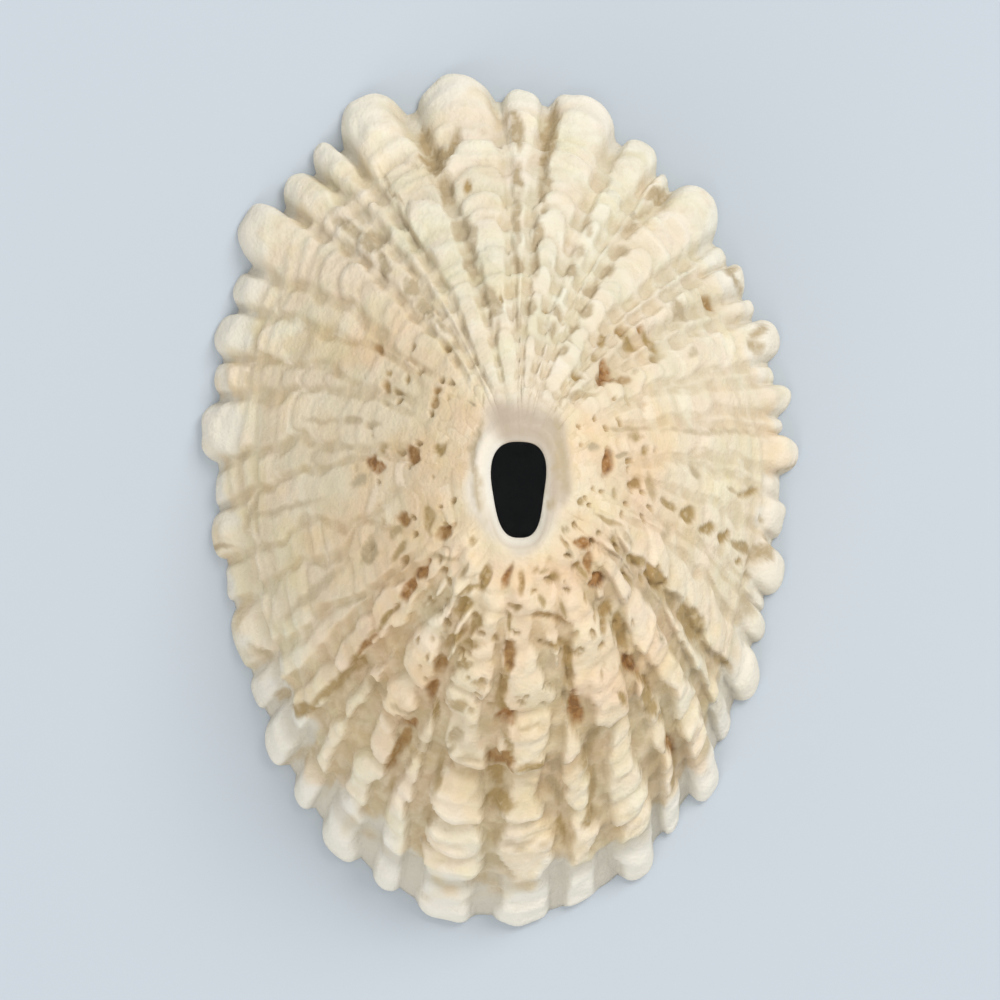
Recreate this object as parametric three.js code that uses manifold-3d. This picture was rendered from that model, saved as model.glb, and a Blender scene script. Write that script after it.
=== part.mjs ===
// Keyhole limpet shell: one grown piece. It is an oval cone with a keyhole at its top, beaded ribs
// that run down to a knobbed margin, and a smooth hollow underneath.
// Millimetres, +Z up. +Y runs along the length, towards the broad end. The origin lies in the plane
// of the margin, under the middle of the shell.
import * as THREE from 'three';
import { mergeVertices } from 'three/addons/utils/BufferGeometryUtils.js';
import Module from 'manifold-3d';

// Overall size
const shellLength = 38;
const shellWidth = 26.6;
const shellHeight = 14;

// Keyhole: where its centre stands, its outline and its lip
const keyholeX = 0.82;
const keyholeY = 0.39;
const keyhole = { halfWidth: 1.2, halfLength: 2.15, power: 2.8, broadFront: 0.17, lean: -0.05 };
const lipDrop = 0.3;
const lipRows = [0.012, 0.05]; // shares of the way to the margin
const mouthShare = 0.85; // where the lip ends inside the keyhole's outline
const keyholeDepth = 5;
const keyholeSides = 40;

// Margin between the ribs: an ellipse about the keyhole with a few slow waves
const margin = {
  halfWidth: 12.5, halfLength: 18.2,
  front: -0.019, side: -0.089, twist: -0.009, egg: -0.029, lean: -0.018,
};
const marginRise = 0.45; // height of the outer face where it meets the margin
const footInset = 0.3; // how far the flat foot stands in from the edge

// Wall
const wallAtMargin = 1.25;
const wallAtTop = 1.5;
const hollowColumns = 64;
const hollowRows = [1, 0.86, 0.7, 0.52, 0.34, 0.17]; // shares of the hollow's radius

// Growth rings, counted from the callus round the keyhole to the margin
const ringCount = 13;
const firstRing = 3; // inside it the growth lines are too fine to see
const callusEnd = 0.1; // share of the way to the margin that is smooth
const ringSpread = 1.4; // above 1, rings widen outwards

// Growth stops: ledges where the shell stepped down before it grew on
const ledges = [
  { at: 0.575, drop: 0.3, from: 145, to: 232, soft: 15 },
  { at: 0.875, drop: 0.3, from: 95, to: 262, soft: 15 },
];

// Ribs clockwise from the broad end: bearing in degrees at the margin, breadth against its
// neighbours, and how far its knob stands out past the margin in millimetres
const ribs = [
  [0.3, 0.55, 0.5], [10.3, 1, 1.25], [20.8, 0.8, 0.8], [25, 0.3, 0.35], [33.5, 1.1, 1.25],
  [41, 0.4, 0.15], [45.5, 0.7, 0.5], [51.5, 0.4, 0.3], [59.5, 1, 0.95], [65.5, 0.4, 0.1],
  [70.5, 0.8, 0.75], [76.5, 0.35, 0.2], [82.5, 1, 0.8], [90, 0.45, 0.05], [96.5, 0.9, 0.35],
  [107.5, 1, 0.7], [116, 0.3, 0.1], [119.5, 0.7, 0.35], [130, 0.95, 0.8], [139.5, 0.6, 0.35],
  [146.8, 0.9, 0.95], [155.5, 0.6, 0.4], [162, 0.9, 0.85], [171.5, 0.6, 0.15], [179, 0.9, 0.4],
  [190.5, 0.9, 0.5], [198.5, 0.6, 0.45], [207.5, 0.9, 0.7], [215, 0.6, 0.55], [224, 0.9, 0.75],
  [231.8, 0.6, 0.3], [241.3, 0.95, 0.5], [251.5, 0.6, 0.3], [261, 0.9, 0.6], [269.5, 0.7, 0.15],
  [280.5, 1, 0.75], [290.5, 0.55, 0.3], [298, 0.8, 0.6], [305.5, 0.6, 0.45], [314.8, 1, 1.45],
  [323.5, 0.7, 0.8], [330, 0.5, 0.9], [337, 1, 1.6], [351, 1, 1.2],
].map(([bearing, breadth, reach]) => ({ bearing, breadth, reach }));
const riblet = 0.5; // a rib narrower than this is a riblet, with fewer faces
const ribHeight = 1; // crest over valley at the margin, for a breadth of 1
const ribShoulder = 0.55; // how far towards the valley a rib's crest turns down
const crestFlatness = 2.4;
const knobFlatten = 0.35; // share of a rib's height that its knob loses at the margin
const beadDepth = 0.34; // share of the crest lost between two beads
const cordHeight = 0.16; // rings where they cross the valleys

// Along the sides the ribs are worn nearly flat, except by the margin. The ends, where they stand
// full, reach as far as these cosines of the bearing
const sideWear = { kept: 0.3, sideEnds: 0.45, fullFrom: 0.88, marginFrom: 0.84 };

// Ribs start bunched towards the broad end and swing out as they go down, in degrees. One stretch,
// between from and to, has nearly straight ribs.
const swing = { most: 25, easeRight: 0.6, easeLeft: 1.6 };
const straightStretch = { from: 190, to: 266, soft: 22, held: 0.7 };

const rad = THREE.MathUtils.degToRad;
const wrap = (value, length) => ((value % length) + length) % length;

const ellipse = (bearing, halfWidth, halfLength) =>
  1 / Math.hypot(Math.sin(bearing) / halfWidth, Math.cos(bearing) / halfLength);

// A squared oval, broader towards the front
function keyholeRadius(bearing) {
  const { halfWidth, halfLength, power, broadFront, lean } = keyhole;
  const width = halfWidth * (1 + broadFront * Math.cos(bearing) + lean * Math.sin(bearing));
  const across = Math.abs(Math.sin(bearing) / width) ** power;
  const along = Math.abs(Math.cos(bearing) / halfLength) ** power;
  return (across + along) ** (-1 / power);
}

function marginRadius(bearing) {
  const wave =
    1 + margin.front * Math.cos(bearing) + margin.side * Math.sin(bearing) +
    margin.twist * Math.sin(2 * bearing) + margin.egg * Math.cos(3 * bearing) +
    margin.lean * Math.sin(3 * bearing);
  return ellipse(bearing, margin.halfWidth, margin.halfLength) * wave;
}

// 1 between two bearings in degrees, easing off inside each end
function sector(bearing, { from, to, soft }) {
  const degrees = wrap(THREE.MathUtils.radToDeg(bearing), 360);
  return THREE.MathUtils.smoothstep(degrees, from, from + soft) *
    (1 - THREE.MathUtils.smoothstep(degrees, to - soft, to));
}

// A rib's bearing at share s of the way down: it still has to swing out over what is left
function swung(bearing, s) {
  const sine = Math.sin(bearing);
  const ease = sine > 0 ? swing.easeRight : swing.easeLeft;
  const full = (rad(swing.most) * Math.hypot(1, ease) * sine) / Math.hypot(sine, ease);
  return bearing - full * (1 - straightStretch.held * sector(bearing, straightStretch)) * (1 - s);
}

// The flanks are nearly straight towards the broad end and fuller towards the narrow end
function heightAt(s, bearing) {
  const fullness = 1.3 - 0.14 * Math.cos(bearing);
  return marginRise + (shellHeight - marginRise) * (1 - s ** fullness);
}

// The valley after each rib, shared out by breadth
ribs.forEach((rib, i) => {
  const next = ribs[(i + 1) % ribs.length];
  const gap = wrap(next.bearing - rib.bearing, 360);
  rib.after = (gap * rib.breadth) / (rib.breadth + next.breadth);
  next.before = gap - rib.after;
});

// One column of the outer face for each bearing at which the ribs turn
function columns() {
  return ribs.flatMap((rib) => {
    const steps = rib.breadth < riblet ? [0, 1] : [-ribShoulder, 0, ribShoulder, 1];
    return steps.map((across) => ({
      rib,
      bearing: rad(rib.bearing + across * (across < 0 ? rib.before : rib.after)),
      crest: 1 - Math.abs(across) ** crestFlatness,
    }));
  });
}

// Rows of the outer face: lip, callus, then a trough and a bead for each ring
function rows() {
  const shareOf = (ring) => callusEnd + (1 - callusEnd) * (ring / ringCount) ** ringSpread;
  const list = [...lipRows, callusEnd].map((s) => ({ s, bead: 0 }));
  for (let ring = firstRing; ring < ringCount; ring += 0.5) {
    list.push({ s: shareOf(ring), bead: ring % 1 ? 1 : 0 });
  }
  list.push({ s: 1, bead: 0.6 });
  return list;
}

function ledgeDrop(s, bearing) {
  return ledges.reduce((sum, ledge) => {
    const step = THREE.MathUtils.smoothstep(s, ledge.at - 0.02, ledge.at + 0.02) *
      (1 - THREE.MathUtils.smoothstep(s, ledge.at + 0.06, ledge.at + 0.2));
    return sum + ledge.drop * sector(bearing, ledge) * step;
  }, 0);
}

// Share of a rib's height that wear has left
function unworn(s, bearing) {
  const { kept, sideEnds, fullFrom, marginFrom } = sideWear;
  const atEnds = THREE.MathUtils.smoothstep(Math.abs(Math.cos(bearing)), sideEnds, fullFrom);
  const byMargin = THREE.MathUtils.smoothstep(s, marginFrom, 1);
  return 1 - (1 - kept) * (1 - atEnds) * (1 - byMargin);
}

function outerPoint(column, row) {
  const { rib, bearing, crest } = column;
  const { s, bead } = row;
  const turn = swung(bearing, s);
  const inner = keyholeRadius(turn);
  const reachOut = marginRadius(bearing) - inner;
  const radius = inner + reachOut * s;
  const slope = (heightAt(s - 0.01, bearing) - heightAt(s + 0.01, bearing)) / (0.02 * reachOut);
  const tilt = Math.atan(slope);

  const grown = THREE.MathUtils.smoothstep(s, 0.08, 0.5) * (0.45 + 0.55 * s);
  const stand = ribHeight * (0.35 + 0.65 * rib.breadth) * grown * unworn(s, bearing);
  const ribRise = stand * crest * (1 - beadDepth * (1 - bead));
  const cordRise = cordHeight * grown * (1 - crest) * bead;
  const rise = ribRise + cordRise - ledgeDrop(s, bearing);
  const atMargin = THREE.MathUtils.smoothstep(s, 0.7, 1);
  const knob = (rib.reach * crest - rise * Math.sin(tilt)) * atMargin;
  const outwards = radius + rise * Math.sin(tilt) + knob;
  return new THREE.Vector3(
    keyholeX + outwards * Math.sin(turn),
    keyholeY + outwards * Math.cos(turn),
    heightAt(s, bearing) + rise * Math.cos(tilt) * (1 - knobFlatten * atMargin),
  );
}

// A closed mesh from rings of points, each ring from the top down, with a fan at either end
function closedForm(rings, top, bottom) {
  const across = rings[0].length;
  const points = [top, ...rings.flat(), bottom];
  const index = [];
  const at = (ring, column) => 1 + ring * across + (column % across);
  for (let column = 0; column < across; column++) {
    index.push(0, at(0, column + 1), at(0, column));
    for (let ring = 0; ring + 1 < rings.length; ring++) {
      const [a, b] = [at(ring, column), at(ring, column + 1)];
      const [c, d] = [at(ring + 1, column), at(ring + 1, column + 1)];
      index.push(a, b, c, b, d, c);
    }
    index.push(at(rings.length - 1, column), at(rings.length - 1, column + 1), points.length - 1);
  }
  return new THREE.BufferGeometry().setFromPoints(points).setIndex(index);
}

// Outer form: the sculptured flank, closed over the keyhole and flat underneath
function outerForm() {
  const around = columns();
  const flank = rows().map((row) => around.map((column) => outerPoint(column, row)));
  const mouth = around.map(({ bearing }) => {
    const turn = swung(bearing, 0);
    const radius = keyholeRadius(turn) * mouthShare;
    return new THREE.Vector3(
      keyholeX + radius * Math.sin(turn), keyholeY + radius * Math.cos(turn), shellHeight - lipDrop);
  });
  const foot = flank.at(-1).map((point) => {
    const out = Math.hypot(point.x, point.y);
    return new THREE.Vector3(point.x, point.y, 0).multiplyScalar((out - footInset) / out);
  });
  const top = new THREE.Vector3(keyholeX, keyholeY, shellHeight - lipDrop);
  return closedForm([mouth, ...flank, foot], top, new THREE.Vector3(0, 0, 0));
}

// Hollow: a smooth dome that leaves the wall, and runs on below the foot
function hollowForm() {
  const rise = shellHeight - wallAtTop;
  const ringAt = (share, z) =>
    Array.from({ length: hollowColumns }, (_, i) => {
      const bearing = (i / hollowColumns) * 2 * Math.PI;
      const radius = (marginRadius(bearing) - wallAtMargin) * share;
      return new THREE.Vector3(
        keyholeX + radius * Math.sin(bearing), keyholeY + radius * Math.cos(bearing), z);
    });
  const dome = hollowRows.map((share) => ringAt(share, rise * (1 - share ** 1.35))).reverse();
  const below = ringAt(1, -1);
  return closedForm(
    [...dome, below],
    new THREE.Vector3(keyholeX, keyholeY, rise),
    new THREE.Vector3(keyholeX, keyholeY, -1),
  );
}

// Keyhole: its outline carried down through the top of the shell
function keyholeForm() {
  const outline = new THREE.Shape(
    Array.from({ length: keyholeSides }, (_, i) => {
      const bearing = (i / keyholeSides) * 2 * Math.PI;
      const radius = keyholeRadius(bearing);
      return new THREE.Vector2(radius * Math.sin(bearing), radius * Math.cos(bearing));
    }),
  );
  return new THREE.ExtrudeGeometry(outline, { depth: keyholeDepth, bevelEnabled: false })
    .translate(keyholeX, keyholeY, shellHeight - keyholeDepth + 1);
}

const wasm = await Module();
wasm.setup();

function solidOf(geometry) {
  const bare = geometry.clone();
  bare.deleteAttribute('normal');
  bare.deleteAttribute('uv');
  const merged = mergeVertices(bare, 1e-4);
  return new wasm.Manifold(new wasm.Mesh({
    numProp: 3,
    vertProperties: merged.attributes.position.array,
    triVerts: new Uint32Array(merged.index.array),
  }));
}

function geometryOf(solid) {
  const { vertProperties, triVerts } = solid.getMesh();
  const geometry = new THREE.BufferGeometry();
  geometry.setAttribute('position', new THREE.BufferAttribute(vertProperties, 3));
  geometry.setIndex(new THREE.BufferAttribute(triVerts, 1));
  return geometry;
}

// Brings the finished form to its overall size, with its middle over the origin
function setToSize(geometry) {
  geometry.computeBoundingBox();
  const size = geometry.boundingBox.getSize(new THREE.Vector3());
  const middle = geometry.boundingBox.getCenter(new THREE.Vector3());
  geometry.translate(-middle.x, -middle.y, 0);
  geometry.scale(shellWidth / size.x, shellLength / size.y, shellHeight / size.z);
  geometry.computeVertexNormals();
  return geometry;
}

const shellSolid = solidOf(outerForm())
  .subtract(solidOf(hollowForm()))
  .subtract(solidOf(keyholeForm()));

const lime = new THREE.MeshStandardMaterial({ color: '#e4d9c0', roughness: 0.6, metalness: 0 });
const shell = new THREE.Mesh(setToSize(geometryOf(shellSolid)), lime);
shell.name = 'shell';

const limpet = new THREE.Group();
limpet.add(shell);
export default limpet;
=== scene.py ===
import math
from types import SimpleNamespace

import bpy
import numpy as np
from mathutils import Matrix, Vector


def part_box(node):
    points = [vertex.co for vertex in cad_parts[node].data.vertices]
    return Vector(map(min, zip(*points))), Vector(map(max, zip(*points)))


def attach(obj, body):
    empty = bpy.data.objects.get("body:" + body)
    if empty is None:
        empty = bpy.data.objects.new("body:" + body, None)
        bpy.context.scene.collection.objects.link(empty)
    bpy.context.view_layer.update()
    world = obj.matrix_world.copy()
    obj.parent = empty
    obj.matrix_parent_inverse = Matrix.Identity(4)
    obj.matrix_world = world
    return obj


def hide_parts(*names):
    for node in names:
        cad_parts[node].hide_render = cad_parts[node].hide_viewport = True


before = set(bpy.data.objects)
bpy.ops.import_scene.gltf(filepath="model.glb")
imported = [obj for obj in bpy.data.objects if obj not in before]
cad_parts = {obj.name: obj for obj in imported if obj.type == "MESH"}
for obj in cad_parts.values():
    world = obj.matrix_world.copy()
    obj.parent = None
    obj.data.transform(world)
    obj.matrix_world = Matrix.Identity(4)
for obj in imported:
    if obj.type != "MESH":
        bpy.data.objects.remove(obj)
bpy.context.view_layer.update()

mm = 0.001

# The shell's form, in millimetres and degrees, in the solid's own frame
shellForm = {
    "height": 14.0,
    "rimHeight": 0.45,  # the outer face meets the margin at this height
    "flankFront": 1.16,  # power of the flank's curve towards the broad end
    "flankBack": 1.44,
    "keyholeX": 0.82,
    "keyholeY": 0.39,
    "keyholeHalfWidth": 1.2,
    "keyholeHalfLength": 2.15,
    "keyholePower": 2.8,  # 2 is an ellipse, more is squarer
    "keyholeBroad": 0.17,  # broader by this share towards the front
    "keyholeLean": -0.05,  # and by this towards the right
    "marginHalfWidth": 12.5,
    "marginHalfLength": 18.2,
    "marginWaves": [(1, -0.019, -0.089), (2, 0, -0.009), (3, -0.029, -0.018)],  # times round, cos, sin
    "wallAtMargin": 1.25,
    "wallAtTop": 1.5,
    "footInset": 0.3,
    "callus": 0.1,  # share of the way down that the smooth collar takes
    "rings": 14,
    "swingMost": 25.0,  # ribs bunch by this much towards the broad end at the top
    "swingEaseRight": 0.6,
    "swingEaseLeft": 1.6,
    "seenFrom": 400.0,  # how far above the floor the marks were noted from
    "straight": (190, 266, 22, 0.7),  # between these bearings, eased over 22, ribs swing 0.7 less
    "ledges": [(0.59, 0.42, 145, 232), (0.89, 0.26, 95, 262)],  # way down, drop, bearings between
}

# Ribs clockwise from the broad end: bearing at the margin, breadth against the neighbours, and how
# far the rib's knob stands out past the margin
ribs = np.array([
    [0.3, 0.55, 0.5], [10.3, 1, 1.25], [20.8, 0.8, 0.8], [25, 0.3, 0.35], [33.5, 1.1, 1.25],
    [41, 0.4, 0.15], [45.5, 0.7, 0.5], [51.5, 0.4, 0.3], [59.5, 1, 0.95], [65.5, 0.4, 0.1],
    [70.5, 0.8, 0.75], [76.5, 0.35, 0.2], [82.5, 1, 0.8], [90, 0.45, 0.05], [96.5, 0.9, 0.35],
    [107.5, 1, 0.7], [116, 0.3, 0.1], [119.5, 0.7, 0.35], [130, 0.95, 0.8], [139.5, 0.6, 0.35],
    [146.8, 0.9, 0.95], [155.5, 0.6, 0.4], [162, 0.9, 0.85], [171.5, 0.6, 0.15], [179, 0.9, 0.4],
    [190.5, 0.9, 0.5], [198.5, 0.6, 0.45], [207.5, 0.9, 0.7], [215, 0.6, 0.55], [224, 0.9, 0.75],
    [231.8, 0.6, 0.3], [241.3, 0.95, 0.5], [251.5, 0.6, 0.3], [261, 0.9, 0.6], [269.5, 0.7, 0.15],
    [280.5, 1, 0.75], [290.5, 0.55, 0.3], [298, 0.8, 0.6], [305.5, 0.6, 0.45], [314.8, 1, 1.45],
    [323.5, 0.7, 0.8], [330, 0.5, 0.9], [337, 1, 1.6], [351, 1, 1.2],
])

# How the sculpture differs round the shell: at the front, the right, the back and the left.
# Lengths are in millimetres
sculpture = {
    "relief": (0.46, 0.08, 0.66, 0.12),  # how high a rib stands over its valleys
    "knob": (0.5, 0.5, 0.62, 0.5),  # how high it stands at the margin
    "knobFrom": (0.86, 0.92, 0.87, 0.92),  # where it rises to that
    "knobWidth": (0.84, 0.84, 0.7, 0.84),  # its share of the rib's width
    "valley": (0.2, 0.16, 0.6, 0.14),  # half the width of a valley's floor
    "slope": (0.26, 0.24, 0.24, 0.28),  # width of a rib's side
    "crown": (0.4, 0.2, 0.5, 0.15),  # how much of its height a rib loses by its edges
    "pocket": (0.7, 0.5, 0.18, 0.5),  # how far a valley breaks up into a row of pockets
    "gap": (0.3, 0.3, 0.45, 0.5),  # how far a block sinks at its ends, against the rib
    "pinch": (0.14, 0.1, 0.32, 0.08),  # how much its sides draw in there
    "arch": (0.8, 0.25, 0.15, 0.15),  # how far a ring bows outwards on a crest, in rings
    "terrace": (0.12, 0.03, 0.07, 0.06),  # drop from one ring to the next on a crest
    "scale": (0.13, 0.02, 0.11, 0.02),  # height of the fine growth scales on a crest
    "spread": (1.3, 1.3, 1.15, 1.25),  # above 1, rings widen outwards
    "wander": (0.06, 0.24, 0.19, 0.26),  # how far a valley strays sideways, in ribs
    "lump": (0.08, 0.13, 0.4, 0.08),  # uneven knobs and hollows
    "begin": (0.1, 0.26, 0.16, 0.26),  # share of the way down where the ribs begin
    "late": (0.2, 0.45, 0.65, 0.45),  # how much further down the lesser ones do
    "tint": (0.45, 0.4, 0.88, 0.52),  # strength of the tan in the valleys
    "bored": (0.05, 0.6, 1.0, 0.5),  # how many small pits were bored near the top
    "fresh": (0.55, 0.55, 0.85, 0.75),  # whiteness of the newest band by the margin
    "freshFrom": (0.92, 0.93, 0.88, 0.93),  # where it starts
    "layer": (0.85, 0.35, 0.5, 0.45),  # height of the thin layers by the margin, against 0.16
    "olive": (0.05, 0.05, 0.08, 0.7),  # greenish cast
    "warm": (0.0, 0.75, 0.6, 0.9),  # pink cast of the worn part
    "collar": (2.0, 1.3, 0.8, 1.15),  # width of the smooth collar
    "grey": (1.0, 0.85, 0.5, 0.0),  # painted shade on the collar: darker at the front and right, which face away from the key light
}
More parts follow.
